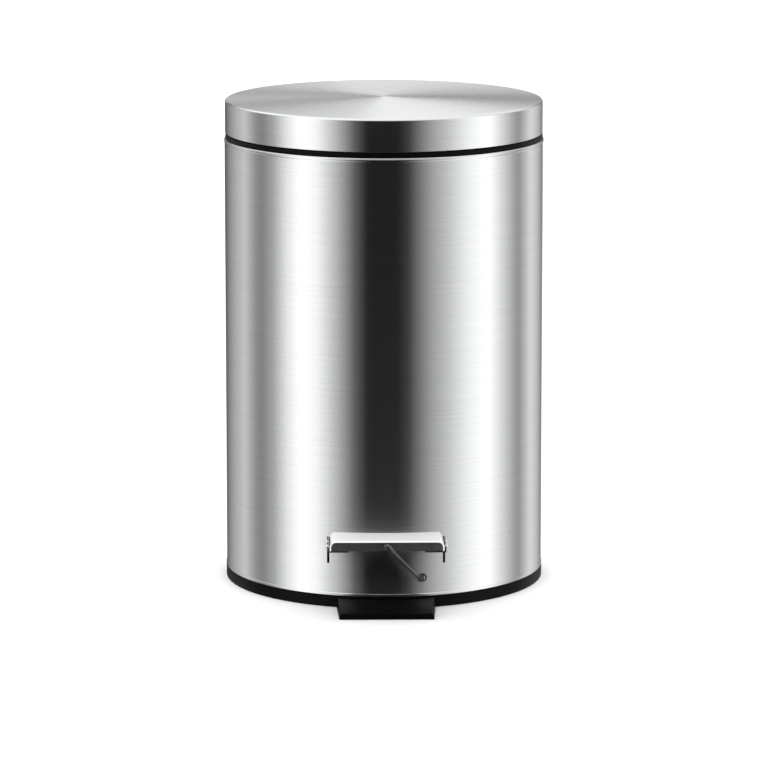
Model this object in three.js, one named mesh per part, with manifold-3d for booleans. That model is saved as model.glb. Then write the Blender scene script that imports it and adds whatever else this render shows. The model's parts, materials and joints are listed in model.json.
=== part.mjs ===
// Pedal trash can: a steel cylinder on a plastic base, a hinged steel lid, a foot pedal whose lever
// lifts the lid through a push rod in the back, and a lift-out bucket with a wire bail.
// Millimetres, +Z up. The origin is on the can's axis at the floor, and the pedal points to -Y.
import * as THREE from "three";
import { mergeVertices } from "three/addons/utils/BufferGeometryUtils.js";
import Module from "manifold-3d";

const wasm = await Module();
wasm.setup();

// Driving dimensions
const bodyRadius = 125;
const sheet = 1;
const baseHeight = 9;
const bodyTop = 350;
const lidBottom = 354.6;
const lidTop = 380;
const lidDome = 2;
const lidRadius = 124.6;
const beadRadius = 125.4;
const gap = 0.3;

// Pedal lever: pivot, reach to the rear pin, and the tilt at rest
const pivotY = -58;
const pivotZ = 40;
const leverReach = 173;
const armInner = 44.1;
const armOuter = 45.1;
const slotX = 44.7;
const slotWidth = 1.8;
const slotBottom = 34.5;
const slotTop = 55.5;

// Lid hinge behind the body and the crank that the push rod lifts
const hingeY = 131;
const hingeZ = 352;
const lidOpening = 80;
const rodX = 3;
const rodRadius = 2;
const rodLegEnd = 13;
const plateX = 8.5;
const plateThick = 1.5;
const halfOpening = THREE.MathUtils.degToRad(lidOpening / 2);
const rodY = pivotY + leverReach;
const crankDrop = (hingeY - rodY) * Math.tan(halfOpening);
const leverTilt = Math.asin(crankDrop / leverReach);
const notchHalf = 15.5;

// Tread, in the lever's own frame with the pivot at 0,0
const treadFront = -113.4;
const treadTop = 14.8;
const treadLip = 7.2;
const treadHalf = 43.8;
const treadSheet = 1.2;

// Places of the fasteners, guides and bosses
const treadRivets = [[-104, 9.2], [-80, 9.2]];
const leverRivetX = 5;
const leverRivetY = 23;
const guideHeights = [116, 306];
const hingeScrewX = 20;
const hingeScrewZ = 328;
const lidScrewYs = [72, 102];
const bossX = 25;
const bossTop = 10;

// Bucket and bail
const bucketFloor = 68;
const bucketWall = 2;
const bucketFlat = 101.5;
const flangeZ = 343.3;
const flangeRadius = 118.9;
const bailRadius = 114.5;
const bailZ = 350;
const bailWire = 1.6;

// Return spring: a wire from the pedal's lip to a coil on a stud in the front wall
const studX = 28.4;
const studZ = 24.8;
const springWire = 0.8;
const coilRadius = 2.4;
const springHoleX = -1.4;
const springHoleZ = 10.8;

const steel = new THREE.MeshStandardMaterial({ color: 0xc4c6c8, roughness: 0.32, metalness: 1 });
const polished = new THREE.MeshStandardMaterial({ color: 0xd6d7d9, roughness: 0.1, metalness: 1 });
const zinc = new THREE.MeshStandardMaterial({ color: 0x9a9c9e, roughness: 0.45, metalness: 1 });
const springSteel = new THREE.MeshStandardMaterial({ color: 0x4a4a4c, roughness: 0.4, metalness: 1 });
const blackPlastic = new THREE.MeshStandardMaterial({ color: 0x141414, roughness: 0.5, metalness: 0 });
const greyPlastic = new THREE.MeshStandardMaterial({ color: 0x2b2d2f, roughness: 0.55, metalness: 0 });

// Turns a closed geometry into a solid for joining and cutting.
function solid(geometry) {
  const bare = geometry.clone();
  bare.deleteAttribute("normal");
  bare.deleteAttribute("uv");
  const merged = mergeVertices(bare, 1e-4);
  return new wasm.Manifold(new wasm.Mesh({
    numProp: 3,
    vertProperties: new Float32Array(merged.attributes.position.array),
    triVerts: new Uint32Array(merged.index.array),
  }));
}

function geometryOf(body) {
  const mesh = body.getMesh();
  const geometry = new THREE.BufferGeometry();
  geometry.setAttribute("position", new THREE.BufferAttribute(mesh.vertProperties, 3));
  geometry.setIndex(new THREE.BufferAttribute(mesh.triVerts, 1));
  return geometry;
}

function join(...geometries) {
  return geometryOf(geometries.map(solid).reduce((sum, next) => sum.add(next)));
}

function cut(geometry, ...tools) {
  return geometryOf(tools.map(solid).reduce((rest, tool) => rest.subtract(tool), solid(geometry)));
}

function common(a, b) {
  return geometryOf(solid(a).intersect(solid(b)));
}

// Turns an outline of [radius, z] points about the Z axis.
function turned(points, segments = 64) {
  const outline = points.map(([radius, z]) => new THREE.Vector2(radius, z));
  return new THREE.LatheGeometry(outline, segments).rotateX(Math.PI / 2);
}

function ring(inner, outer, bottom, top, segments = 64) {
  const outline = [[inner, bottom], [outer, bottom], [outer, top], [inner, top], [inner, bottom]];
  return turned(outline, segments);
}

function disc(radius, bottom, top, segments = 64) {
  return turned([[0, bottom], [radius, bottom], [radius, top], [0, top]], segments);
}

function box(x0, x1, y0, y1, z0, z1) {
  const block = new THREE.BoxGeometry(x1 - x0, y1 - y0, z1 - z0);
  return block.translate((x0 + x1) / 2, (y0 + y1) / 2, (z0 + z1) / 2);
}

// A shape drawn in Y and Z, extruded along X.
function alongX(shape, x0, x1, curveSegments = 8) {
  const turn = new THREE.Matrix4().makeBasis(
    new THREE.Vector3(0, 1, 0),
    new THREE.Vector3(0, 0, 1),
    new THREE.Vector3(1, 0, 0),
  );
  const extrusion = new THREE.ExtrudeGeometry(shape, { depth: x1 - x0, bevelEnabled: false, curveSegments });
  return extrusion.applyMatrix4(turn).translate(x0, 0, 0);
}

// A shape drawn in X and Z, extruded along Y.
function alongY(shape, y0, y1, curveSegments = 8) {
  const extrusion = new THREE.ExtrudeGeometry(shape, { depth: y1 - y0, bevelEnabled: false, curveSegments });
  return extrusion.rotateX(Math.PI / 2).translate(0, y1, 0);
}

// A shape drawn in X and Y, extruded along Z.
function alongZ(shape, z0, z1, curveSegments = 8) {
  const extrusion = new THREE.ExtrudeGeometry(shape, { depth: z1 - z0, bevelEnabled: false, curveSegments });
  return extrusion.translate(0, 0, z0);
}

function polygon(points) {
  return new THREE.Shape(points.map(([u, v]) => new THREE.Vector2(u, v)));
}

function rodAlongX(radius, x0, x1, y, z, segments = 16) {
  const rod = new THREE.CylinderGeometry(radius, radius, x1 - x0, segments).rotateZ(Math.PI / 2);
  return rod.translate((x0 + x1) / 2, y, z);
}

function rodAlongY(radius, x, y0, y1, z, segments = 16) {
  return new THREE.CylinderGeometry(radius, radius, y1 - y0, segments).translate(x, (y0 + y1) / 2, z);
}

function rodAlongZ(radius, x, y, z0, z1, segments = 16) {
  const rod = new THREE.CylinderGeometry(radius, radius, z1 - z0, segments).rotateX(Math.PI / 2);
  return rod.translate(x, y, (z0 + z1) / 2);
}

function wireAlong(curve, radius, steps) {
  const section = new THREE.Shape().absarc(0, 0, radius, 0, 2 * Math.PI);
  const options = { steps, curveSegments: 4, bevelEnabled: false, extrudePath: curve };
  return new THREE.ExtrudeGeometry(section, options);
}

function part(name, geometry, material) {
  const mesh = new THREE.Mesh(geometry, material);
  mesh.name = name;
  return mesh;
}

const group = new THREE.Group();
const lever = new THREE.Group();
lever.position.set(0, pivotY, pivotZ);
lever.rotation.x = -leverTilt;
lever.updateMatrix();
group.add(lever);

function inLeverFrame(geometry) {
  return geometry.applyMatrix4(lever.matrix.clone().invert());
}

function leverPoint(x, y, z) {
  return new THREE.Vector3(x, y, z).applyMatrix4(lever.matrix);
}

// Steel cylinder with a hem at the foot, a bead at the rim, two slots for the pedal's arms,
// a notch for the crank at the back, and the holes for its fasteners.
function bodyShell() {
  const inner = bodyRadius - sheet;
  const bottom = baseHeight + gap;
  const tube = turned([
    [inner, bottom], [beadRadius, bottom], [beadRadius, bottom + 1.6], [bodyRadius, bottom + 2.2],
    [bodyRadius, bodyTop - 3.4], [beadRadius, bodyTop - 2.6], [beadRadius, bodyTop - 0.6],
    [bodyRadius, bodyTop], [inner, bodyTop], [inner, bottom],
  ]);
  const slots = [-slotX, slotX].map((x) =>
    box(x - slotWidth / 2, x + slotWidth / 2, -130, -100, slotBottom, slotTop));
  const notch = box(-notchHalf, notchHalf, 100, 130, 330, bodyTop + 1);
  const studHole = rodAlongY(1.7, studX, -130, -100, studZ);
  const rivetHoles = guideHeights.map((z) => rodAlongY(1.9, rodX, 100, 130, z));
  const screwHoles = [-hingeScrewX, hingeScrewX].map((x) => rodAlongY(1.9, x, 100, 130, hingeScrewZ));
  return cut(tube, ...slots, notch, studHole, ...rivetHoles, ...screwHoles);
}

// Base tray: the ring under the body, a spigot inside it, the floor, two screw bosses,
// and the tongue that steadies the can below the pedal.
function base() {
  const spigotTop = 19;
  const tray = turned([
    [0, 0], [bodyRadius - 0.4, 0], [beadRadius, 0.8], [beadRadius, baseHeight], [123.7, baseHeight],
    [123.7, spigotTop], [121.2, spigotTop], [121.2, 3], [0, 3],
  ]);
  const plan = alongZ(polygon([[-38.5, -114], [-36.3, -160.4], [36.3, -160.4], [38.5, -114]]), 0, baseHeight);
  const side = alongX(polygon([[-114, 0], [-160.4, 0], [-160.4, 4.6], [-124.5, 8.8], [-114, 8.8]]), -40, 40);
  const bosses = [-bossX, bossX].map((x) => rodAlongZ(6, x, pivotY, 2, bossTop));
  const holes = [-bossX, bossX].map((x) => rodAlongZ(1.9, x, pivotY, 4, bossTop + 1, 12));
  return cut(join(tray, common(plan, side), ...bosses), ...holes);
}

// Collar in the body's mouth: the dark band under the lid and the ledge that carries the bucket.
function collar() {
  const profile = turned([
    [119.8, 336], [bodyRadius - sheet - 0.4, 336], [bodyRadius - sheet - 0.4, bodyTop + gap],
    [124.4, bodyTop + gap], [124.4, 354], [119.6, 354], [119.6, 343], [114.6, 343],
    [114.6, 340], [119.8, 340], [119.8, 336],
  ]);
  return cut(profile, box(-notchHalf, notchHalf, 90, 130, 330, 360));
}

// Hinge block screwed to the back of the body: two knuckles, hollow between them for the crank.
function hingeHousing() {
  const side = new THREE.Shape();
  side.moveTo(118, 322);
  side.lineTo(134.2, 322);
  side.lineTo(137.2, 325);
  side.lineTo(137.2, hingeZ);
  side.absarc(hingeY, hingeZ, 6.2, 0, Math.PI);
  side.lineTo(118, hingeZ - 6);
  const block = alongX(side, -24, 24);
  const hollow = box(-15, 15, 110, 135.7, 326, 370);
  const opening = box(-15, 15, 110, 140, hingeZ - 4, 370);
  const pinHole = rodAlongX(2.3, -30, 30, hingeY, hingeZ);
  const screwHoles = [-hingeScrewX, hingeScrewX].map((x) => rodAlongY(1.9, x, 110, 132, hingeScrewZ, 12));
  return cut(block, disc(beadRadius + gap, 300, 380), hollow, opening, pinHole, ...screwHoles);
}

// A pan-head screw or rivet that stands on the XY plane with its shank down the -Z axis.
function fastener(headRadius, headHeight, shankRadius, shankLength, segments = 10) {
  return turned([
    [0, -shankLength], [shankRadius, -shankLength], [shankRadius, 0], [headRadius, 0],
    [headRadius, headHeight * 0.5], [headRadius * 0.7, headHeight], [0, headHeight],
  ], segments);
}

// A rivet closed on both sides of a grip that runs from z = -grip to 0.
function rivet(headRadius, headHeight, shankRadius, grip, segments = 10) {
  return turned([
    [0, -grip - headHeight], [headRadius * 0.7, -grip - headHeight], [headRadius, -grip - headHeight * 0.5],
    [headRadius, -grip], [shankRadius, -grip], [shankRadius, 0], [headRadius, 0],
    [headRadius, headHeight * 0.5], [headRadius * 0.7, headHeight], [0, headHeight],
  ], segments);
}

function washer(inner, outer, x0, x1, y, z) {
  return ring(inner, outer, x0, x1, 12).rotateY(Math.PI / 2).translate(0, y, z);
}

function pivotBracket() {
  const plate = box(-41.7, 41.7, -70, -46, bossTop + gap, bossTop + gap + 1.5);
  const ear = new THREE.Shape();
  ear.moveTo(-70, bossTop + gap);
  ear.lineTo(-46, bossTop + gap);
  ear.lineTo(pivotY + 8, pivotZ);
  ear.absarc(pivotY, pivotZ, 8, 0, Math.PI);
  const ears = [-41.7, 40.2].map((x) => alongX(ear, x, x + 1.5));
  const pinHole = rodAlongX(3.2, -50, 50, pivotY, pivotZ);
  const holes = [-bossX, bossX].map((x) => rodAlongZ(2.2, x, pivotY, 5, 20, 12));
  return cut(join(plate, ...ears), pinHole, ...holes);
}

// Guide block that keeps the push rod upright against the back wall.
function rodGuide(z) {
  const block = box(rodX - 6, rodX + 6, 110.5, 123, z - 6, z + 6);
  return cut(block, rodAlongZ(2.4, rodX, rodY, z - 10, z + 10, 16), rodAlongY(1.9, rodX, 119, 126, z, 12));
}

// Stud in the front wall that the spring's coil turns on.
function springStud() {
  const outline = [
    [0, -4.5], [3, -4.5], [3, -3.3], [1.1, -3.3], [1.1, 6], [1.4, 6.2], [1.4, 6.8], [1, 7.2], [0, 7.2],
  ];
  return turned(outline, 16).rotateX(Math.PI / 2).translate(studX, -122, studZ);
}

// Pressed tread: a shell open at the bottom and the back, its back edge following the wall.
function pedalTread() {
  const outer = new THREE.Shape();
  const corner = 5;
  outer.moveTo(-treadHalf, treadLip);
  outer.lineTo(treadHalf, treadLip);
  outer.absarc(treadHalf - corner, treadTop - corner, corner, 0, Math.PI / 2);
  outer.absarc(corner - treadHalf, treadTop - corner, corner, Math.PI / 2, Math.PI);
  const inner = new THREE.Shape();
  const wall = treadHalf - treadSheet;
  const bend = corner - treadSheet;
  inner.moveTo(-wall, -5);
  inner.lineTo(wall, -5);
  inner.absarc(wall - bend, treadTop - corner, bend, 0, Math.PI / 2);
  inner.absarc(bend - wall, treadTop - corner, bend, Math.PI / 2, Math.PI);
  return cut(
    alongY(outer, treadFront, -50),
    alongY(inner, treadFront + treadSheet, -40),
    inLeverFrame(disc(bodyRadius + 1.2, 0, 120)),
    rodAlongY(1.7, springHoleX, -120, -105, springHoleZ),
    ...treadRivets.map(([y, z]) => rodAlongX(1.3, -60, 60, y, z, 12)),
  );
}

// Two side arms with inward tabs under the tread, joined by a web behind the pivot.
function pedalFrame() {
  const side = polygon([
    [-111, 5.7], [-75, 5.7], [-60, 0.2], [-12, -8], [30, -8], [30, -2.5], [8, 7.5], [-4, 9.6],
    [-60, 9.6], [-68, 12.2], [-108.5, 12.2], [-111, 9.7],
  ]);
  const arms = [-armOuter, armInner].map((x) => alongX(side, x, x + armOuter - armInner));
  const webHalf = (armInner + armOuter) / 2;
  const tabs = [-1, 1].map((s) =>
    box(Math.min(s * 29, s * webHalf), Math.max(s * 29, s * webHalf), -111, -77, 5.7, treadLip - gap));
  const web = box(-webHalf, webHalf, 16, 30, -8, -6.5);
  const pinHole = rodAlongX(3.2, -50, 50, 0, 0);
  const rivetHoles = treadRivets.map(([y, z]) => rodAlongX(1.3, -60, 60, y, z, 12));
  const webHoles = [-leverRivetX, leverRivetX].map((x) => rodAlongZ(1.8, x, leverRivetY, -12, 0, 12));
  return cut(join(web, ...arms, ...tabs), pinHole, ...rivetHoles, ...webHoles);
}

// Channel that carries the pedal's motion to the back; its long flange holds the push rod.
function leverBar() {
  const plate = box(-10, 10, 14, 160, -6.2, -4.7);
  const short = box(-10, -8.5, 14, 160, -6.2, 4);
  const longSide = new THREE.Shape();
  longSide.moveTo(14, -6.2);
  longSide.lineTo(leverReach, -6.2);
  longSide.absarc(leverReach, 0, 6.2, -Math.PI / 2, Math.PI / 2);
  longSide.lineTo(150, 4);
  longSide.lineTo(14, 4);
  const long = alongX(longSide, plateX, plateX + plateThick);
  const holes = [-leverRivetX, leverRivetX].map((x) => rodAlongZ(1.8, x, leverRivetY, -12, 0, 12));
  return cut(join(plate, short, long), rodAlongX(3.2, 0, 20, leverReach, 0), ...holes);
}

// Push rod: a straight wire with both ends turned over along +X.
function pushRod() {
  const low = pivotZ - crankDrop;
  const high = hingeZ - crankDrop;
  const elbow = (z) => new THREE.SphereGeometry(rodRadius, 12, 8).rotateX(Math.PI / 2).translate(rodX, rodY, z);
  return join(
    rodAlongZ(rodRadius, rodX, rodY, low, high, 12),
    rodAlongX(rodRadius, rodX, rodLegEnd, rodY, low, 12),
    rodAlongX(rodRadius, rodX, rodLegEnd, rodY, high, 12),
    elbow(low),
    elbow(high),
  );
}

function lidCap() {
  const inner = lidRadius - sheet;
  const shell = turned([
    [0, lidTop + lidDome - sheet], [60, lidTop + 0.4], [inner - 2, lidTop - sheet],
    [inner, lidTop - sheet - 2], [inner, lidBottom], [lidRadius, lidBottom], [lidRadius, lidTop - 2],
    [lidRadius - 0.6, lidTop - 0.6], [lidRadius - 2, lidTop], [60, lidTop + 1.4], [0, lidTop + lidDome],
  ]);
  return cut(shell, box(-notchHalf, notchHalf, 110, 130, 350, 367));
}

function lidLiner() {
  const dish = turned([
    [0, 375.5], [121, 375.5], [121, 360], [123.2, 360], [123.2, 376.5], [122, 377.5], [0, 377.5],
  ], 48);
  const holes = lidScrewYs.map((y) => rodAlongZ(1.9, 0, y, 370, 380, 12));
  return cut(dish, box(-notchHalf, notchHalf, 110, 130, 350, 371), ...holes);
}

// Bracket under the lid: a strap through the notch to the hinge barrel, and the slotted crank.
function lidBracket() {
  const strap = polygon([
    [62, 372.2], [110, 372.2], [113.5, 368.7], [113.5, 360.5], [117, 357], [127.3, 350.6], [131, 351],
    [131, 356], [125, 359.6], [119, 361], [116.5, 363.5], [116.5, 371], [113, 375.2], [62, 375.2],
  ]);
  const barrel = rodAlongX(4.2, -14, 14, hingeY, hingeZ);
  const outline = new THREE.Shape();
  outline.moveTo(0, 5.5);
  outline.lineTo(0, -5.5);
  outline.lineTo(21, -5.5);
  outline.absarc(21, 0, 5.5, -Math.PI / 2, Math.PI / 2);
  const slot = new THREE.Path();
  slot.absarc(16.4, 0, 3, Math.PI / 2, 1.5 * Math.PI);
  slot.absarc(20.5, 0, 3, -Math.PI / 2, Math.PI / 2);
  slot.closePath();
  outline.holes.push(slot);
  const crank = alongX(outline, plateX, plateX + plateThick);
  crank.rotateX(Math.PI + halfOpening).translate(0, hingeY, hingeZ);
  const holes = lidScrewYs.map((y) => rodAlongZ(2.1, 0, y, 365, 380, 12));
  return cut(join(alongX(strap, -14, 14), barrel, crank), rodAlongX(2.3, -30, 30, hingeY, hingeZ), ...holes);
}

// Lift-out bucket: tapered, flat at the back for the push rod, with a flange and two bail lugs.
function innerBucket() {
  const outer = turned([[0, bucketFloor], [101, bucketFloor], [103, bucketFloor + 2], [113.9, flangeZ + 1],
    [0, flangeZ + 1]], 48);
  const inner = turned([[0, bucketFloor + bucketWall], [100, bucketFloor + bucketWall],
    [101, bucketFloor + bucketWall + 1], [111.9, flangeZ + 5], [0, flangeZ + 5]], 48);
  const flange = disc(flangeRadius, flangeZ, flangeZ + 2);
  const wall = common(outer, box(-130, 130, -130, bucketFlat, 0, 400));
  const rim = common(flange, box(-130, 130, -130, bucketFlat + 1.5, 0, 400));
  const hollow = common(inner, box(-130, 130, -130, bucketFlat - bucketWall, 0, 400));
  const lugs = [-1, 1].map((s) => box(s * 111.4 - 1.2, s * 111.4 + 1.2, -5, 5, flangeZ + 0.5, bailZ + 4));
  const holes = [rodAlongX(2, -115, -108, 0, bailZ, 12), rodAlongX(2, 108, 115, 0, bailZ, 12)];
  return cut(join(cut(join(wall, rim), hollow), ...lugs), ...holes);
}

// Wire bail lying forward on the bucket's rim, its ends turned in through the lugs.
function bail() {
  const arc = new THREE.EllipseCurve(0, 0, bailRadius, bailRadius, Math.PI, 2 * Math.PI);
  const bow = wireAlong(flatCurve(arc, bailZ), bailWire, 40);
  const ends = [-1, 1].map((s) =>
    rodAlongX(bailWire, Math.min(s * 108.6, s * bailRadius), Math.max(s * 108.6, s * bailRadius), 0, bailZ, 8));
  const corners = [-1, 1].map((s) =>
    new THREE.SphereGeometry(bailWire * 1.05, 12, 8).translate(s * bailRadius, 0, bailZ));
  return join(bow, ...ends, ...corners);
}

// A curve drawn in X and Y, lifted to height z.
function flatCurve(curve, z) {
  const lifted = new THREE.Curve();
  lifted.getPoint = (t) => new THREE.Vector3(curve.getPoint(t).x, curve.getPoint(t).y, z);
  return lifted;
}

function bailGrip() {
  const span = 0.36;
  const arc = new THREE.EllipseCurve(0, 0, bailRadius, bailRadius, 1.5 * Math.PI - span, 1.5 * Math.PI + span);
  const section = new THREE.Shape().absarc(0, 0, 4.2, 0, 2 * Math.PI);
  section.holes.push(new THREE.Path().absarc(0, 0, bailWire + gap + 0.2, 0, 2 * Math.PI));
  const options = { steps: 12, curveSegments: 5, bevelEnabled: false, extrudePath: flatCurve(arc, bailZ) };
  return new THREE.ExtrudeGeometry(section, options);
}

// Spring wire: hooked through the hole in the lip, down across it, and one turn round the stud.
function returnSpring() {
  const coilY = -125.4;
  const points = [
    leverPoint(springHoleX, -109.5, springHoleZ),
    leverPoint(springHoleX, -114, springHoleZ),
    leverPoint(springHoleX + 1, -115.4, springHoleZ + 1),
    leverPoint(springHoleX + 4.6, -115.4, springHoleZ - 2),
    leverPoint(springHoleX + 8.5, -115.2, springHoleZ - 6.2),
  ];
  const coil = [];
  const turns = 10;
  for (let i = 0; i <= turns; i += 1) {
    const angle = 1.2 * Math.PI + (1.75 * Math.PI * i) / turns;
    const y = coilY - 1.2 + (2.4 * i) / turns;
    coil.push(new THREE.Vector3(studX + coilRadius * Math.cos(angle), y, studZ + coilRadius * Math.sin(angle)));
  }
  const from = points[points.length - 1];
  const straight = [0.25, 0.5, 0.75, 0.94].map((share) => from.clone().lerp(coil[0], share));
  points.push(...straight, ...coil);
  return wireAlong(new THREE.CatmullRomCurve3(points, false, "centripetal"), springWire, 72);
}

group.add(
  part("body_shell", bodyShell(), steel),
  part("base", base(), blackPlastic),
  part("collar", collar(), blackPlastic),
  part("hinge_housing", hingeHousing(), blackPlastic),
  part("hinge_pin", rodAlongX(2, -23.6, 23.6, hingeY, hingeZ), zinc),
  part("pivot_bracket", pivotBracket(), zinc),
  part("pivot_pin", rodAlongX(2.9, -47.3, 47.3, pivotY, pivotZ), zinc),
  part("spring_stud", springStud(), zinc),
  part("push_rod", pushRod(), zinc),
  part("rod_clip_lower", washer(rodRadius + gap, 5, 11, 12, rodY, pivotZ - crankDrop), zinc),
  part("rod_clip_upper", washer(rodRadius + gap, 5, 11, 12, rodY, hingeZ - crankDrop), zinc),
  part("lid_cap", lidCap(), steel),
  part("lid_liner", lidLiner(), blackPlastic),
  part("lid_bracket", lidBracket(), zinc),
  part("inner_bucket", innerBucket(), greyPlastic),
  part("bail", bail(), zinc),
  part("bail_grip", bailGrip(), blackPlastic),
  part("return_spring", returnSpring(), springSteel),
);

["left", "right"].forEach((side, i) => {
  const s = i ? 1 : -1;
  const clipX = s > 0 ? armOuter + gap : -armOuter - gap - 1;
  const hingeScrew = fastener(3.2, 2.2, 1.6, 10).rotateX(Math.PI / 2).translate(s * hingeScrewX, 121.2, hingeScrewZ);
  group.add(
    part("pivot_clip_" + side, washer(3.2, 5.5, clipX, clipX + 1, pivotY, pivotZ), zinc),
    part("bracket_screw_" + side, fastener(4, 2.4, 1.6, 7).translate(s * bossX, pivotY, bossTop + 2.1), zinc),
    part("hinge_screw_" + side, hingeScrew, zinc),
  );
  lever.add(part("lever_rivet_" + side,
    rivet(3, 1.4, 1.5, 3.9).translate(s * leverRivetX, leverRivetY, -4.4), zinc));
  treadRivets.forEach(([y, z], row) => {
    const head = rivet(1.9, 1.2, 1, 3.1).rotateY(s * Math.PI / 2).translate(s * (armOuter + gap), y, z);
    lever.add(part("tread_rivet_" + side + (row ? "_rear" : "_front"), head, polished));
  });
});

["lower", "upper"].forEach((level, i) => {
  const z = guideHeights[i];
  const back = fastener(4, 1.6, 1.5, 6).rotateX(-Math.PI / 2).translate(rodX, bodyRadius + gap, z);
  group.add(
    part("rod_guide_" + level, rodGuide(z), blackPlastic),
    part("guide_rivet_" + level, back, polished),
  );
});

["front", "rear"].forEach((place, i) => {
  const screw = fastener(3.4, 2, 1.6, 4.6).rotateX(Math.PI).translate(0, lidScrewYs[1 - i], 371.9);
  group.add(part("lid_screw_" + place, screw, zinc));
});

lever.add(
  part("pedal_tread", pedalTread(), polished),
  part("pedal_frame", pedalFrame(), zinc),
  part("lever_bar", leverBar(), zinc),
);

export default group;
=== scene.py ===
import bmesh
import bpy
import json
import math
from mathutils import Matrix, Vector


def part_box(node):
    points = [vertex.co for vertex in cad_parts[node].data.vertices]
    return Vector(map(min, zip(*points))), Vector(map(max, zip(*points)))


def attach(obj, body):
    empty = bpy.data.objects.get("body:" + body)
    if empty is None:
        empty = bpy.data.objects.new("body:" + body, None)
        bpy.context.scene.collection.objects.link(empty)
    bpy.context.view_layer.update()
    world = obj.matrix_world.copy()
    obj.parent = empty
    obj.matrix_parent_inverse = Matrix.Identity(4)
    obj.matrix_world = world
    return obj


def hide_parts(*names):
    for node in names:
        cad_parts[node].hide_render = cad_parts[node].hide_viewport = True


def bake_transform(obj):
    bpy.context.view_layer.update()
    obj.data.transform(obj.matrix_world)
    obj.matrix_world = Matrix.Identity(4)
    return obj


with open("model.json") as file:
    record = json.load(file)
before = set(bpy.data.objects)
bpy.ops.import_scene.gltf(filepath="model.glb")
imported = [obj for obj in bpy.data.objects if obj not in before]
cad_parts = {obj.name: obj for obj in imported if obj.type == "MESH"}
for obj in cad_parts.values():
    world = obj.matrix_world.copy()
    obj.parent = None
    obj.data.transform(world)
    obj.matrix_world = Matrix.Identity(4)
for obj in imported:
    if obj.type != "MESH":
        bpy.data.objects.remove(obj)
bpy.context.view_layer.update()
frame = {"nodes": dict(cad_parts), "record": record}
mm = 0.001
scene = bpy.context.scene

# sizes that several pieces share, read from the frame
bodyLow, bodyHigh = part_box("body_shell")
lidLow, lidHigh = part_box("lid_cap")
baseLow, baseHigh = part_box("base")
beadRadius = bodyHigh.x                    # hem at the foot and bead at the rim
beadStand = 0.4 * mm                       # how far both stand out from the wall
bodyRadius = beadRadius - beadStand
lidRadius = lidHigh.x
sheet = 1.0 * mm
sameSpot = 0.002 * mm                      # points nearer to each other than this are merged
noiseLow, noiseHigh = 0.3, 0.7             # nearly all values of a noise pattern lie between these
joints = {j["name"]: j for j in frame["record"]["behaviour"]["joints"]}
pivot = Vector(joints["pedal_press"]["pos_m"])
leverTilt = math.radians(joints["pedal_press"]["range_deg"][1]) / 2    # at rest, half the travel above level
leverMatrix = Matrix.Translation(pivot) @ Matrix.Rotation(-leverTilt, 4, "X")


def linearColour(code):
    parts = [int(code[i:i + 2], 16) / 255 for i in (1, 3, 5)]
    return [c / 12.92 if c <= 0.04045 else ((c + 0.055) / 1.055) ** 2.4 for c in parts] + [1.0]


# a value may be a number, a colour, or another node's output, which is then linked
def addNode(tree, kind, settings):
    node = tree.nodes.new(kind)
    for key, value in settings.items():
        if isinstance(value, bpy.types.NodeSocket):
            tree.links.new(value, node.inputs[key])
        elif isinstance(key, int) or key in node.inputs:
            node.inputs[key].default_value = value
        else:
            setattr(node, key, value)
    return node


def newMaterial(name, settings):
    material = bpy.data.materials.new(name)
    material.use_nodes = True
    shader = material.node_tree.nodes["Principled BSDF"]
    for key, value in settings.items():
        shader.inputs[key].default_value = value
    return material, material.node_tree, shader


# noise on the piece's own coordinates; stretch is features per metre along each axis
def grain(tree, stretch, detail):
    place = addNode(tree, "ShaderNodeTexCoord", {}).outputs["Object"]
    mapped = addNode(tree, "ShaderNodeMapping", {"Scale": stretch, "Vector": place}).outputs[0]
    noise = addNode(tree, "ShaderNodeTexNoise", {"Scale": 1.0, "Detail": detail, "Vector": mapped})
    return noise.outputs[0]


# lets a pattern vary a surface's colour, roughness and height between two looks
def applyPattern(tree, shader, look, pattern, height=None):
    colour = addNode(tree, "ShaderNodeMix", {
        "data_type": "RGBA", 0: pattern, 6: linearColour(look["dark"]), 7: linearColour(look["light"])})
    rough = addNode(tree, "ShaderNodeMapRange", {
        "Value": pattern, "From Min": noiseLow, "From Max": noiseHigh,
        "To Min": look["smooth"], "To Max": look["rough"]})
    bump = addNode(tree, "ShaderNodeBump", {
        "Strength": 1.0, "Distance": look["depthMm"] * mm, "Height": height or pattern})
    for source, target in ((colour.outputs[2], "Base Color"), (rough.outputs[0], "Roughness"),
                           (bump.outputs[0], "Normal")):
        tree.links.new(source, shader.inputs[target])


# lets the reflections be drawn out across a grain that runs round the can
def brushAround(tree, shader):
    around = addNode(tree, "ShaderNodeTangent", {"direction_type": "RADIAL", "axis": "Z"}).outputs[0]
    tree.links.new(around, shader.inputs["Tangent"])


# stainless sheet brushed round the can: light is drawn out up and down the wall
def brushedStainless():
    look = {"dark": "#c9cacb", "light": "#d6d7d8", "smooth": 0.16, "rough": 0.18, "streakMm": 0.9,
            "acrossPerMetre": 9, "depthMm": 0.0006}
    material, tree, shader = newMaterial("brushedStainless", {
        "Metallic": 1.0, "Anisotropic": 0.92, "Anisotropic Rotation": 0.25})
    across = look["acrossPerMetre"]
    upward = 1 / (look["streakMm"] * mm)                 # real lines are near 0.1 mm, drawn coarser
    applyPattern(tree, shader, look, grain(tree, (across, across, upward), 2))
    brushAround(tree, shader)
    return material


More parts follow.
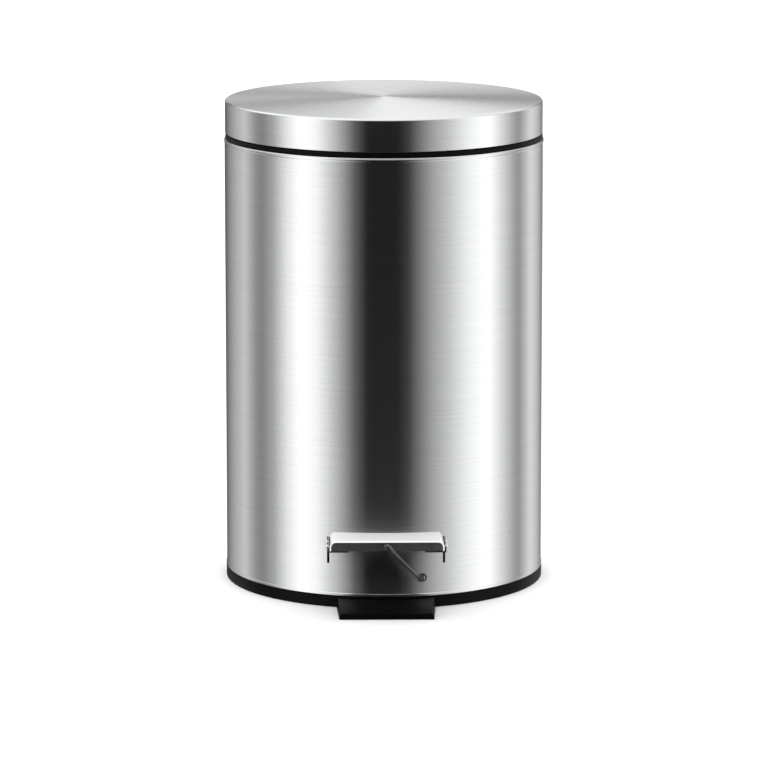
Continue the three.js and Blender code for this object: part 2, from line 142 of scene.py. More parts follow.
# the same sheet spun on a lathe: fine rings whose faces lean a little outwards, so the light
# gathers in wedges that meet in the middle
def spunStainless():
    look = {"dark": "#c8c9ca", "light": "#dadbdc", "smooth": 0.21, "rough": 0.28, "ringMm": 0.8,
            "depthMm": 0.0006, "leanDegrees": 5.5}
    material, tree, shader = newMaterial("spunStainless", {
        "Metallic": 1.0, "Anisotropic": 0.85, "Anisotropic Rotation": 0.25})
    place = addNode(tree, "ShaderNodeTexCoord", {}).outputs["Object"]
    flat = addNode(tree, "ShaderNodeVectorMath", {
        "operation": "MULTIPLY", 0: place, 1: (1, 1, 0)}).outputs[0]
    radius = addNode(tree, "ShaderNodeVectorMath", {"operation": "LENGTH", 0: flat}).outputs["Value"]
    rings = addNode(tree, "ShaderNodeTexNoise", {
        "noise_dimensions": "1D", "Scale": 1 / (look["ringMm"] * mm), "Detail": 2.0, "W": radius}).outputs[0]
    lean = math.tan(math.radians(look["leanDegrees"])) / (look["depthMm"] * mm)
    fall = addNode(tree, "ShaderNodeMath", {"operation": "MULTIPLY", 0: radius, 1: -lean}).outputs[0]
    height = addNode(tree, "ShaderNodeMath", {"operation": "ADD", 0: fall, 1: rings}).outputs[0]
    applyPattern(tree, shader, look, rings, height)
    brushAround(tree, shader)
    return material


# a bare metal with a cloudy surface
def plainMetal(name, look, metallic=1.0):
    material, tree, shader = newMaterial(name, {"Metallic": metallic})
    applyPattern(tree, shader, look, grain(tree, [1 / (look["cloudMm"] * mm)] * 3, 4))
    return material


# injection-moulded polypropylene: a satin skin over fine spark-eroded grain
def mouldedPlastic(name, look, gloss):
    material, tree, shader = newMaterial(name, {"IOR": 1.49, "Specular IOR Level": gloss})
    applyPattern(tree, shader, look, grain(tree, [1 / (look["grainMm"] * mm)] * 3, 3))
    return material


looks = {
    "brushed": brushedStainless(),
    "spun": spunStainless(),
    # polished pressing: bright, with faint polishing haze
    "polished": plainMetal("polishedStainless", {
        "dark": "#e6e7e8", "light": "#f3f3f3", "smooth": 0.20, "rough": 0.26, "cloudMm": 12,
        "depthMm": 0.0003}),
    # the tread's top: a lighter, half-diffuse copy of the polished steel, a painted highlight, so it stays
    # bright from any side
    "paintedHighlight": plainMetal("paintedHighlightStainless", {
        "dark": "#f0f0f1", "light": "#fafafa", "smooth": 0.34, "rough": 0.42, "cloudMm": 6,
        "depthMm": 0.0005}, metallic=0.45),
    # zinc plate: grey, slightly clouded, satin
    "zinc": plainMetal("zincPlatedSteel", {
        "dark": "#808284", "light": "#a0a2a4", "smooth": 0.30, "rough": 0.44, "cloudMm": 5,
        "depthMm": 0.002}),
    # drawn spring wire: darker, with a soft shine along it
    "spring": plainMetal("springSteel", {
        "dark": "#5c5c5e", "light": "#7d7d7f", "smooth": 0.28, "rough": 0.40, "cloudMm": 1.1,
        "depthMm": 0.001}),
    # black mouldings: almost no colour of their own, and only a faint shine
    "black": mouldedPlastic("blackPolypropylene", {
        "dark": "#040404", "light": "#070707", "smooth": 0.35, "rough": 0.45, "grainMm": 0.7,
        "depthMm": 0.008}, gloss=0.06),
    # the bucket's charcoal: lighter than the black mouldings round it
    "grey": mouldedPlastic("greyPolypropylene", {
        "dark": "#2a2c2e", "light": "#303234", "smooth": 0.45, "rough": 0.55, "grainMm": 0.9,
        "depthMm": 0.008}, gloss=0.35),
}

print("materials made")


# puts a finished mesh in the place of a CAD node; a second look is for faces chosen afterwards
def showPiece(mesh, name, node, looksUsed, body, smoothAngle=35):
    piece = bpy.data.objects.new(name, mesh)
    scene.collection.objects.link(piece)
    mesh.materials.clear()
    for look in looksUsed:
        mesh.materials.append(looks[look])
    mesh.shade_smooth()
    mesh.set_sharp_from_angle(angle=math.radians(smoothAngle))
    if body:
        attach(piece, body)
    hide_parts(node)
    return piece


def toMesh(bm):
    bmesh.ops.remove_doubles(bm, verts=bm.verts, dist=sameSpot)
    bmesh.ops.recalc_face_normals(bm, faces=bm.faces)
    mesh = bpy.data.meshes.new("shape")
    bm.to_mesh(mesh)
    bm.free()
    return mesh


# an outline of (radius, height) points spun once round Z; a closed outline gives a ring
def turned(outline, steps=192, closed=True):
    bm = bmesh.new()
    verts = [bm.verts.new((r, 0, z)) for r, z in outline]
    edges = [bm.edges.new(pair) for pair in zip(verts, verts[1:])]
    if closed:
        edges.append(bm.edges.new((verts[-1], verts[0])))
    bmesh.ops.spin(bm, geom=verts + edges, cent=(0, 0, 0), axis=(0, 0, 1), angle=2 * math.pi,
                   steps=steps, use_merge=True)
    bmesh.ops.remove_doubles(bm, verts=bm.verts, dist=sameSpot)
    bmesh.ops.recalc_face_normals(bm, faces=bm.faces)
    return bm


# rounds the given edges over a width
def roundEdges(bm, edges, width, segments, clamp=True):
    bmesh.ops.bevel(bm, geom=edges, offset=width, offset_type="OFFSET", segments=segments,
                    profile=0.5, affect="EDGES", material=-1, clamp_overlap=clamp)


# rounds every edge that is sharper than minAngle and passes the test
def bevelSharp(bm, width, segments, minAngle, test=None):
    bmesh.ops.recalc_face_normals(bm, faces=bm.faces)
    edges = [e for e in bm.edges if len(e.link_faces) == 2
             and e.calc_face_angle(0) > math.radians(minAngle) and (test is None or test(e))]
    roundEdges(bm, edges, width, segments)
    return bm


def block(low, high):
    bm = bmesh.new()
    bmesh.ops.create_cube(bm, size=1)
    middle = (Vector(low) + Vector(high)) / 2
    bmesh.ops.scale(bm, vec=Vector(high) - Vector(low), verts=bm.verts)
    bmesh.ops.translate(bm, vec=middle, verts=bm.verts)
    return bm


# a round bar from one point to another
def bar(radius, start, end, steps=32):
    bm = bmesh.new()
    start, end = Vector(start), Vector(end)
    bmesh.ops.create_cone(bm, cap_ends=True, segments=steps, radius1=radius, radius2=radius,
                          depth=(end - start).length)
    turnTo = Vector((0, 0, 1)).rotation_difference(end - start).to_matrix()
    bmesh.ops.rotate(bm, matrix=turnTo, verts=bm.verts, cent=(0, 0, 0))
    bmesh.ops.translate(bm, vec=(start + end) / 2, verts=bm.verts)
    return bm


# joins (UNION) or cuts (DIFFERENCE) with one tool after another, in the order given
def combined(mesh, *steps):
    made = [bpy.data.objects.new("work", mesh)]
    for kind, tool in steps:
        toolMesh = toMesh(tool) if isinstance(tool, bmesh.types.BMesh) else tool
        made.append(bpy.data.objects.new("tool", toolMesh))
        change = made[0].modifiers.new(kind, "BOOLEAN")
        change.operation = kind
        change.solver = "EXACT"
        change.object = made[-1]
    for each in made:
        scene.collection.objects.link(each)
    result = bpy.data.meshes.new_from_object(made[0].evaluated_get(bpy.context.evaluated_depsgraph_get()))
    for each in made:
        bpy.data.objects.remove(each)
    return result


# a copy of a CAD node with its flats merged and its edges eased
def eased(node, look, body, width):
    bm = bmesh.new()
    bm.from_mesh(frame["nodes"][node].data)
    bmesh.ops.remove_doubles(bm, verts=bm.verts, dist=sameSpot)
    bmesh.ops.dissolve_limit(bm, angle_limit=math.radians(0.6), verts=bm.verts, edges=bm.edges)
    bevelSharp(bm, width, 2, 40)
    showPiece(toMesh(bm), node + "_eased", node, [look], body, 32)


# a round wire through points, as a mesh with closed ends; radii are shares of the radius
def wireMesh(points, radius, radii=None, smooth=True):
    curve = bpy.data.curves.new("wire", "CURVE")
    curve.dimensions = "3D"
    curve.bevel_depth = radius
    curve.bevel_resolution = 4
    curve.use_fill_caps = True
    spline = curve.splines.new("BEZIER" if smooth else "POLY")
    knots = spline.bezier_points if smooth else spline.points
    knots.add(len(points) - 1)
    for i, (knot, point) in enumerate(zip(knots, points)):
        knot.co = tuple(point) if smooth else (*point, 1)
        knot.radius = radii[i] if radii else 1
        if smooth:
            knot.handle_left_type = knot.handle_right_type = "AUTO"
    curve.resolution_u = 12
    holder = bpy.data.objects.new("wire", curve)
    scene.collection.objects.link(holder)
    mesh = bpy.data.meshes.new_from_object(holder.evaluated_get(bpy.context.evaluated_depsgraph_get()))
    bpy.data.objects.remove(holder)
    bm = bmesh.new()
    bm.from_mesh(mesh)
    return toMesh(bm)


# the gap at the back of a ring, between two heights, that the lid's bracket moves in
def backNotch(low, high):
    size = {"half": 15.5 * mm, "front": 90 * mm, "back": 130 * mm}
    return block((-size["half"], size["front"], low), (size["half"], size["back"], high))


# body: one wall of sheet with a hem at the foot and a bead at the rim
def makeBody():
    size = {"bead": 1.1 * mm, "beadDrop": 1.7 * mm, "beadSteps": 8, "hem": 1.7 * mm, "hemEdge": 0.2 * mm,
            "hemFallMm": [(0, 0), (0.25, 0.4), (0.4, 0.7)],      # (inwards, upwards) above the hem
            "rimEdge": 0.3 * mm, "slotX": 44.7 * mm, "slotWidth": 1.8 * mm, "slotLow": 34.5 * mm,
            "slotHigh": 55.5 * mm, "slotFront": -130 * mm, "slotBack": -100 * mm,
            "notchLow": 330 * mm, "overrun": 1 * mm, "steps": 256}
    inner, edge = bodyRadius - sheet, size["rimEdge"]
    foot, rim = bodyLow.z, bodyHigh.z
    outline = [(inner, foot), (beadRadius - size["hemEdge"], foot), (beadRadius, foot + size["hemEdge"])]
    outline += [(beadRadius - inwards * mm, foot + size["hem"] + upwards * mm)
                for inwards, upwards in size["hemFallMm"]]
    for i in range(size["beadSteps"] + 1):
        angle = math.pi * (i / size["beadSteps"] - 0.5)
        outline.append((bodyRadius + beadStand * math.cos(angle),
                        rim - size["beadDrop"] + size["bead"] * math.sin(angle)))
    outline += [(bodyRadius, rim - edge), (bodyRadius - edge, rim), (inner + edge, rim), (inner, rim - edge)]
    cuts = []
    for x in (-size["slotX"], size["slotX"]):
        slot = block((x - size["slotWidth"] / 2, size["slotFront"], size["slotLow"]),
                     (x + size["slotWidth"] / 2, size["slotBack"], size["slotHigh"]))
        cuts.append(("DIFFERENCE", slot))
    cuts.append(("DIFFERENCE", backNotch(size["notchLow"], rim + size["overrun"])))
    wall = toMesh(turned(outline, size["steps"]))
    showPiece(combined(wall, *cuts), "body_wall", "body_shell", ["brushed"], "housing", 30)


# base: the ring, its spigot and floor, two screw bosses, and the drafted tongue in front
def makeBase():
    size = {"top": 9 * mm, "spigot": 123.7 * mm, "spigotTop": 19 * mm, "inside": 121.2 * mm,
            "floor": 3 * mm, "edge": 0.6 * mm, "tongueBack": 38.5 * mm, "tongueFront": 36.3 * mm,
            "tongueStart": -114 * mm, "slopeStart": -124.5 * mm, "tongueLow": 4.6 * mm,
            "tongueHigh": 8.8 * mm, "tongueEdge": 0.7 * mm, "edgeFrom": 1 * mm, "draft": 0.8 * mm,
            "bossX": 25 * mm, "bossRadius": 6 * mm, "bossLow": 2 * mm, "bossTop": 10 * mm, "steps": 256}
    tray = turned([(0, 0), (baseHigh.x, 0), (baseHigh.x, size["top"]), (size["spigot"], size["top"]),
                   (size["spigot"], size["spigotTop"]), (size["inside"], size["spigotTop"]),
                   (size["inside"], size["floor"]), (0, size["floor"])], size["steps"], closed=False)
    bevelSharp(tray, size["edge"], 3, 40)
    tongue = bmesh.new()
    plan = [tongue.verts.new((x, y, 0)) for x, y in (
        (-size["tongueBack"], size["tongueStart"]), (-size["tongueFront"], baseLow.y),
        (size["tongueFront"], baseLow.y), (size["tongueBack"], size["tongueStart"]))]
    foot = tongue.faces.new(plan)
    lifted = bmesh.ops.extrude_face_region(tongue, geom=[foot])["geom"]
    for v in (g for g in lifted if isinstance(g, bmesh.types.BMVert)):
        atFront = v.co.y < size["slopeStart"]
        v.co.z = size["tongueLow"] if atFront else size["tongueHigh"]
        v.co.x -= math.copysign(size["draft"], v.co.x)
        v.co.y += size["draft"] / 2 if atFront else 0
    bevelSharp(tongue, size["tongueEdge"], 3, 40,
               lambda e: max(v.co.z for v in e.verts) > size["edgeFrom"])
    bosses = [("UNION", bar(size["bossRadius"], (x, pivot.y, size["bossLow"]), (x, pivot.y, size["bossTop"])))
              for x in (-size["bossX"], size["bossX"])]
    moulding = combined(toMesh(tray), ("UNION", tongue), *bosses)
    showPiece(moulding, "base_moulding", "base", ["black"], "housing")


# collar: the dark band between body and lid, and the ledge that carries the bucket
def makeCollar():
    size = {"ledge": 114.6 * mm, "ledgeLow": 340 * mm, "ledgeHigh": 343 * mm, "bandIn": 119.6 * mm,
            "spigot": 123.6 * mm, "seat": 350.3 * mm, "edge": 0.4 * mm, "notchLow": 330 * mm,
            "notchHigh": 360 * mm}
    low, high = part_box("collar")
    outline = [(size["bandIn"], low.z), (size["spigot"], low.z), (size["spigot"], size["seat"]),
               (high.x, size["seat"]), (high.x, high.z), (size["bandIn"], high.z),
               (size["bandIn"], size["ledgeHigh"]), (size["ledge"], size["ledgeHigh"]),
               (size["ledge"], size["ledgeLow"]), (size["bandIn"], size["ledgeLow"])]
    ring = bevelSharp(turned(outline), size["edge"], 3, 40)
    notch = backNotch(size["notchLow"], size["notchHigh"])
    showPiece(combined(toMesh(ring), ("DIFFERENCE", notch)), "collar_ring", "collar", ["black"], "housing")


# lid: a shallow cap, domed a little, with a rolled fold and a broken edge at the foot of its skirt
def makeLid():
    size = {"fold": 2.0 * mm, "foldSteps": 6, "dome": 2.0 * mm, "rings": 24, "edge": 0.3 * mm,
            "notchLow": 350 * mm, "notchHigh": 367 * mm, "topFrom": 0.9, "steps": 256}
    edgeTop = lidHigh.z - size["dome"]
    flatRadius = lidRadius - size["fold"]
    inner, edge = lidRadius - sheet, size["edge"]
    shares = [1 - i / size["rings"] for i in range(size["rings"] + 1)]
    top = [(flatRadius * share, edgeTop + size["dome"] * (1 - share ** 2)) for share in shares]
    under = [(r, z - sheet) for r, z in reversed(top)]
    skirt = [(inner, edgeTop - size["fold"]), (inner, lidLow.z + edge), (inner + edge, lidLow.z),
             (lidRadius - edge, lidLow.z), (lidRadius, lidLow.z + edge)]
    angles = [math.pi / 2 * i / size["foldSteps"] for i in range(size["foldSteps"])]
    fold = [(flatRadius + size["fold"] * math.cos(a), edgeTop - size["fold"] + size["fold"] * math.sin(a))
            for a in angles]
    cap = turned(under + skirt + fold + top, size["steps"], closed=False)
    shell = combined(toMesh(cap), ("DIFFERENCE", backNotch(size["notchLow"], size["notchHigh"])))
    piece = showPiece(shell, "lid_shell", "lid_cap", ["brushed", "spun"], "lid", 30)
    for face in piece.data.polygons:
        face.material_index = 1 if face.normal.z > size["topFrom"] else 0


# liner: the black dish under the lid, with ribs like spokes
def makeLiner():
    size = {"plate": 375.5 * mm, "rimIn": 121 * mm, "shoulderIn": 1.2 * mm, "shoulderDrop": 1.0 * mm,
            "edge": 0.4 * mm, "ribs": 8, "rib": 1.8 * mm, "ribStart": 20 * mm, "ribDrop": 2.0 * mm,
            "overlap": 0.5 * mm, "notchLow": 350 * mm, "notchHigh": 371 * mm}
    low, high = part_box("lid_liner")
    outline = [(0, size["plate"]), (size["rimIn"], size["plate"]), (size["rimIn"], low.z), (high.x, low.z),
               (high.x, high.z - size["shoulderDrop"]), (high.x - size["shoulderIn"], high.z), (0, high.z)]
    dish = bevelSharp(turned(outline, closed=False), size["edge"], 2, 40)
    steps = []
    for i in range(size["ribs"]):
        rib = block((size["ribStart"], -size["rib"] / 2, size["plate"] - size["ribDrop"]),
                    (size["rimIn"] + size["overlap"], size["rib"] / 2, size["plate"] + size["overlap"]))
        turn = Matrix.Rotation(2 * math.pi * (i + 0.5) / size["ribs"], 3, "Z")
        bmesh.ops.rotate(rib, cent=(0, 0, 0), matrix=turn, verts=rib.verts)
        steps.append(("UNION", rib))
    steps.append(("DIFFERENCE", backNotch(size["notchLow"], size["notchHigh"])))
    showPiece(combined(toMesh(dish), *steps), "lid_inner_dish", "lid_liner", ["black"], "lid")


# tread: a pressing with rounded shoulders and a lip, its back edge following the wall
def makeTread():
    size = {"half": 43.8 * mm, "front": -113.4 * mm, "top": 14.8 * mm, "lip": 7.2 * mm, "back": -50 * mm,
            "shoulder": 5.0 * mm, "shoulderSteps": 10, "fold": 1.6 * mm, "foldSteps": 5,
            "sheet": 1.2 * mm, "wallGap": 1.2 * mm, "wallTop": 120 * mm, "wallSteps": 384,
            "holeRadius": 1.7 * mm, "holeX": -1.4 * mm, "holeZ": 10.8 * mm, "holeFront": -120 * mm,
            "holeBack": -105 * mm, "openFrom": 0.9, "topFrom": 0.8}
    near = 0.001 * mm
    bm = block((-size["half"], size["front"], size["lip"]), (size["half"], size["back"], size["top"]))
    alongSides = [e for e in bm.edges if all(v.co.z > size["top"] - near for v in e.verts)
                  and abs(e.verts[0].co.x - e.verts[1].co.x) < near]
    roundEdges(bm, alongSides, size["shoulder"], size["shoulderSteps"], clamp=False)
    atFront = [e for e in bm.edges if all(v.co.y < size["front"] + near for v in e.verts)
               and not all(v.co.z < size["lip"] + near for v in e.verts)]
    roundEdges(bm, atFront, size["fold"], size["foldSteps"], clamp=False)
    bmesh.ops.recalc_face_normals(bm, faces=bm.faces)
    openSides = [f for f in bm.faces if f.normal.z < -size["openFrom"] or f.normal.y > size["openFrom"]]
    bmesh.ops.delete(bm, geom=openSides, context="FACES")
    bmesh.ops.solidify(bm, geom=bm.faces, thickness=size["sheet"])
    bmesh.ops.transform(bm, matrix=leverMatrix, verts=bm.verts)
    reach = bodyRadius + size["wallGap"]
    wall = turned([(0, 0), (reach, 0), (reach, size["wallTop"]), (0, size["wallTop"])],
                  size["wallSteps"], closed=False)
    hole = bar(size["holeRadius"], leverMatrix @ Vector((size["holeX"], size["holeFront"], size["holeZ"])),
               leverMatrix @ Vector((size["holeX"], size["holeBack"], size["holeZ"])))
    pressing = combined(toMesh(bm), ("DIFFERENCE", wall), ("DIFFERENCE", hole))
    piece = showPiece(pressing, "tread_pressing", "pedal_tread", ["polished", "paintedHighlight"], "pedal", 30)
    # faces that look upwards get the lighter, half-diffuse copy of the steel: a painted highlight on the
    # tread's top
    for face in piece.data.polygons:
        face.material_index = 1 if face.normal.z > size["topFrom"] else 0


# return spring: hooked in the lip, down across it to nearly one turn on the stud in the wall
def makeSpring():
    size = {"wire": 0.8 * mm, "coil": 2.4 * mm, "coilWidth": 2.4 * mm, "coilY": -125.4 * mm,
            "startHalfTurns": 1.2, "halfTurns": 1.75, "coilSteps": 24, "legSteps": 12,
            "hookMm": [(-1.4, -109.5, 10.8), (-1.4, -113.2, 10.8), (-1.0, -114.8, 11.1),
                       (0.2, -114.9, 11.5), (2.0, -114.9, 10.4), (3.6, -114.9, 8.6), (7.1, -114.9, 4.6)]}
    low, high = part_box("spring_stud")
    stud = (low + high) / 2
    hook = [leverMatrix @ (Vector(p) * mm) for p in size["hookMm"]]
    coil = []
    for i in range(size["coilSteps"] + 1):
        share = i / size["coilSteps"]
        angle = (size["startHalfTurns"] + size["halfTurns"] * share) * math.pi
        coil.append(Vector((stud.x + size["coil"] * math.cos(angle),
                            size["coilY"] + size["coilWidth"] * (share - 0.5),
                            stud.z + size["coil"] * math.sin(angle))))
    leg = [hook[-1].lerp(coil[0], i / size["legSteps"]) for i in range(1, size["legSteps"])]
    wire = wireMesh(hook + leg + coil, size["wire"])
    spring = showPiece(wire, "return_wire", "return_spring", ["spring"], None, 60)
    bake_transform(spring)


# stud: a turned pin with a flange inside the wall and a small head that keeps the coil on
def makeStud():
    size = {"outlineMm": [(0, 0), (3, 0), (3, 1.2), (1.1, 1.2), (1.1, 10.5), (1.4, 10.7), (1.4, 11.2),
                          (1.2, 11.5), (0.8, 11.7), (0, 11.7)], "steps": 48}     # (radius, length)
    low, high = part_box("spring_stud")
    middle = (low + high) / 2
    stud = turned([(r * mm, z * mm) for r, z in size["outlineMm"]], size["steps"], closed=False)
    bmesh.ops.rotate(stud, cent=(0, 0, 0), matrix=Matrix.Rotation(math.pi / 2, 3, "X"), verts=stud.verts)
    bmesh.ops.translate(stud, vec=(middle.x, high.y, middle.z), verts=stud.verts)
    showPiece(toMesh(stud), "wall_stud", "spring_stud", ["zinc"], "housing", 30)


# a domed rivet or a cross-head screw with its head facing along axis; place is the middle of the
# head's flat side, found from the node's box if it isn't given
def fastener(node, kind, look, body, axis, place=None):
    share = {"upright": 0.35, "tailEnd": 0.7, "tailRound": 0.4, "crossReach": 0.55, "crossHalf": 0.12,
             "crossFloor": 0.45, "crossTop": 2}              # shares of the head's radius or height
    domeSteps, steps = 6, 32
    head, height, shank, length = (kind[key] * mm for key in ("head", "height", "shank", "length"))
    angles = [math.pi / 2 * i / domeSteps for i in range(domeSteps + 1)]
    dome = [(head * math.cos(a), height * (share["upright"] + (1 - share["upright"]) * math.sin(a)))
            for a in angles]
    outline = [(0, -length), (shank, -length), (shank, 0), (head, 0)] + dome
    if kind["style"] == "closed":
        outline = [(0, -length - height), (head * share["tailEnd"], -length - height),
                   (head, -length - height * share["tailRound"]), (head, -length)] + outline[1:]
    mesh = toMesh(turned(outline, steps, closed=False))
    if kind["style"] == "cross":
        long, short = head * share["crossReach"], head * share["crossHalf"]
        floor, above = height * share["crossFloor"], height * share["crossTop"]
        mesh = combined(mesh, *[("DIFFERENCE", block((-x, -y, floor), (x, y, above)))
                                for x, y in ((long, short), (short, long))])
    axis = Vector(axis)
    if place is None:
        low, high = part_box(node)
        place = (low + high) / 2 + axis * (abs((high - low).dot(axis)) / 2 - height)
    turnTo = Vector((0, 0, 1)).rotation_difference(axis).to_matrix().to_4x4()
    mesh.transform(Matrix.Translation(place) @ turnTo)
    showPiece(mesh, node + "_finished", node, [look], body)


# sizes in millimetres; a cross is cut in a screw's head, and a closed rivet has a head at both ends
def makeFasteners():
    bracketScrew = {"style": "cross", "head": 4, "height": 2.4, "shank": 1.6, "length": 7}
    hingeScrew = {"style": "cross", "head": 3.2, "height": 2.2, "shank": 1.6, "length": 10}
    lidScrew = {"style": "cross", "head": 3.2, "height": 2, "shank": 1.6, "length": 4.4}
    leverRivet = {"style": "closed", "head": 3, "height": 1.4, "shank": 1.5, "length": 3.9,
                  "x": 5, "y": 23, "z": -4.4}                # its place on the lever
    treadRivet = {"style": "closed", "head": 1.9, "height": 1.2, "shank": 1.0, "length": 3.1}
    guideRivet = {"style": "blind", "head": 4, "height": 1.6, "shank": 1.5, "length": 6}
    leverUp = leverMatrix.to_3x3() @ Vector((0, 0, 1))
    for side, sign in (("left", -1), ("right", 1)):
        fastener("bracket_screw_" + side, bracketScrew, "zinc", "housing", (0, 0, 1))
        fastener("hinge_screw_" + side, hingeScrew, "zinc", "housing", (0, -1, 0))
        place = leverMatrix @ (Vector((sign * leverRivet["x"], leverRivet["y"], leverRivet["z"])) * mm)
        fastener("lever_rivet_" + side, leverRivet, "zinc", "pedal", leverUp, place)
        for row in ("front", "rear"):
            fastener("tread_rivet_" + side + "_" + row, treadRivet, "polished", "pedal", (sign, 0, 0))
    for level in ("lower", "upper"):
        fastener("guide_rivet_" + level, guideRivet, "polished", "housing", (0, 1, 0))
    for end in ("front", "rear"):
        fastener("lid_screw_" + end, lidScrew, "zinc", "lid", (0, 0, -1))


# pins with broken edges, and the pressed clips on their ends, each slit into teeth
def makePins():
    size = {"pinEdge": 0.5 * mm, "clipEdge": 0.15 * mm, "pivotBore": 3.2 * mm, "rodBore": 2.3 * mm,
            "rimShare": 0.6, "faceShare": 0.8, "teeth": 4, "slitHalf": 0.5 * mm, "slitReach": 0.72,
            "slitLow": -1 * mm, "slitHigh": 2 * mm, "steps": 48}
    for node in ("hinge_pin", "pivot_pin"):
        low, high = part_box(node)
        middle = (low + high) / 2
        pin = bar((high.z - low.z) / 2, (low.x, middle.y, middle.z), (high.x, middle.y, middle.z),
                  size["steps"])
        bevelSharp(pin, size["pinEdge"], 3, 60)
        showPiece(toMesh(pin), node + "_turned", node, ["zinc"], "housing")
    for node, body, inner in (("pivot_clip_left", "housing", size["pivotBore"]),
                              ("pivot_clip_right", "housing", size["pivotBore"]),
                              ("rod_clip_lower", "push_rod", size["rodBore"]),
                              ("rod_clip_upper", "push_rod", size["rodBore"])):
        low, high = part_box(node)
        middle = (low + high) / 2
        radius, thick = (high.z - low.z) / 2, high.x - low.x
        clip = turned([(inner, 0), (radius, 0), (radius, thick * size["rimShare"]),
                       (radius * size["faceShare"], thick), (inner, thick)], size["steps"])
        bevelSharp(clip, size["clipEdge"], 2, 30)
        slits = []
        for i in range(size["teeth"]):
            slit = block((0, -size["slitHalf"], size["slitLow"]),
                         (radius * size["slitReach"], size["slitHalf"], size["slitHigh"]))
            turn = Matrix.Rotation(2 * math.pi * i / size["teeth"], 3, "Z")
            bmesh.ops.rotate(slit, cent=(0, 0, 0), matrix=turn, verts=slit.verts)
            slits.append(("DIFFERENCE", slit))
        mesh = combined(toMesh(clip), *slits)
        outward = 1 if middle.x > 0 else -1
        place = (low.x if outward > 0 else high.x, middle.y, middle.z)
        mesh.transform(Matrix.Translation(place) @ Matrix.Rotation(outward * math.pi / 2, 4, "Y"))
        showPiece(mesh, node + "_starlock", node, ["zinc"], body)


# push rod: straight wire with both ends turned over on a small bend
def makePushRod():
    size = {"wire": 2 * mm, "bend": 5 * mm, "bendSteps": 6}
    low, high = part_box("push_rod")
    wire, bend = size["wire"], size["bend"]
    x, y = low.x + wire, (low.y + high.y) / 2
    bottom, top = low.z + wire, high.z - wire
    angles = [math.pi / 2 * i / size["bendSteps"] for i in range(size["bendSteps"] + 1)]
    lower = [(high.x, bottom)]
    lower += [(x + bend - bend * math.sin(a), bottom + bend - bend * math.cos(a)) for a in angles]
    upper = [(px, top + bottom - pz) for px, pz in reversed(lower)]
    path = [Vector((px, y, pz)) for px, pz in lower + upper]
    showPiece(wireMesh(path, wire, smooth=False), "push_rod_wire", "push_rod", ["zinc"], "push_rod", 40)


# bucket: tapered, flat at the back, with a flange and two lugs for the bail
def makeBucket():
    size = {"floor": 68 * mm, "wall": 2 * mm, "bottomRadius": 103 * mm, "topRadius": 113.9 * mm,
            "footRound": 4 * mm, "innerRound": 3.5 * mm, "roundSteps": 5, "flangeLow": 343.3 * mm,
            "flange": 118.9 * mm, "flangeEdge": 0.7 * mm, "flat": 101.5 * mm, "flangeFlat": 103 * mm,
            "lug": 111.4 * mm, "lugHalfThick": 1.2 * mm, "lugHalfWide": 5 * mm, "lugLow": 343.8 * mm,
            "lugTop": 354 * mm, "lugEdge": 0.8 * mm, "hole": 2 * mm, "holeFrom": 108 * mm,
            "holeTo": 115 * mm, "holeZ": 350 * mm, "near": 1 * mm, "overrun": 4 * mm, "far": 200 * mm,
            "tall": 400 * mm}
    floor, rim, wall = size["floor"], size["flangeLow"], size["wall"]
    outer = turned([(0, floor), (size["bottomRadius"], floor), (size["topRadius"], rim + size["near"]),
                    (0, rim + size["near"])], closed=False)
    bevelSharp(outer, size["footRound"], size["roundSteps"], 40,
               lambda e: e.verts[0].co.z < floor + size["near"])
    inner = turned([(0, floor + wall), (size["bottomRadius"] - wall, floor + wall),
                    (size["topRadius"] - wall, rim + size["overrun"]), (0, rim + size["overrun"])],
                   closed=False)
    bevelSharp(inner, size["innerRound"], size["roundSteps"], 40,
               lambda e: e.verts[0].co.z < floor + wall + size["near"])
    flange = turned([(0, rim), (size["flange"], rim), (size["flange"], rim + wall), (0, rim + wall)],
                    closed=False)
    bevelSharp(flange, size["flangeEdge"], 3, 40)
    flattened = []
    for shape, depth in ((outer, size["flat"]), (flange, size["flangeFlat"]), (inner, size["flat"] - wall)):
        behind = block((-size["far"], depth, 0), (size["far"], size["far"], size["tall"]))
        flattened.append(combined(toMesh(shape), ("DIFFERENCE", behind)))
    shell, ring, hollow = flattened
    steps = [("UNION", ring), ("DIFFERENCE", hollow)]
    for side in (-1, 1):
        x, thick, wide = side * size["lug"], size["lugHalfThick"], size["lugHalfWide"]
        lug = block((x - thick, -wide, size["lugLow"]), (x + thick, wide, size["lugTop"]))
        bevelSharp(lug, size["lugEdge"], 3, 40)
        hole = bar(size["hole"], (side * size["holeFrom"], 0, size["holeZ"]),
                   (side * size["holeTo"], 0, size["holeZ"]))
        steps += [("UNION", lug), ("DIFFERENCE", hole)]
    showPiece(combined(shell, *steps), "bucket_moulding", "inner_bucket", ["grey"], "bucket", 32)


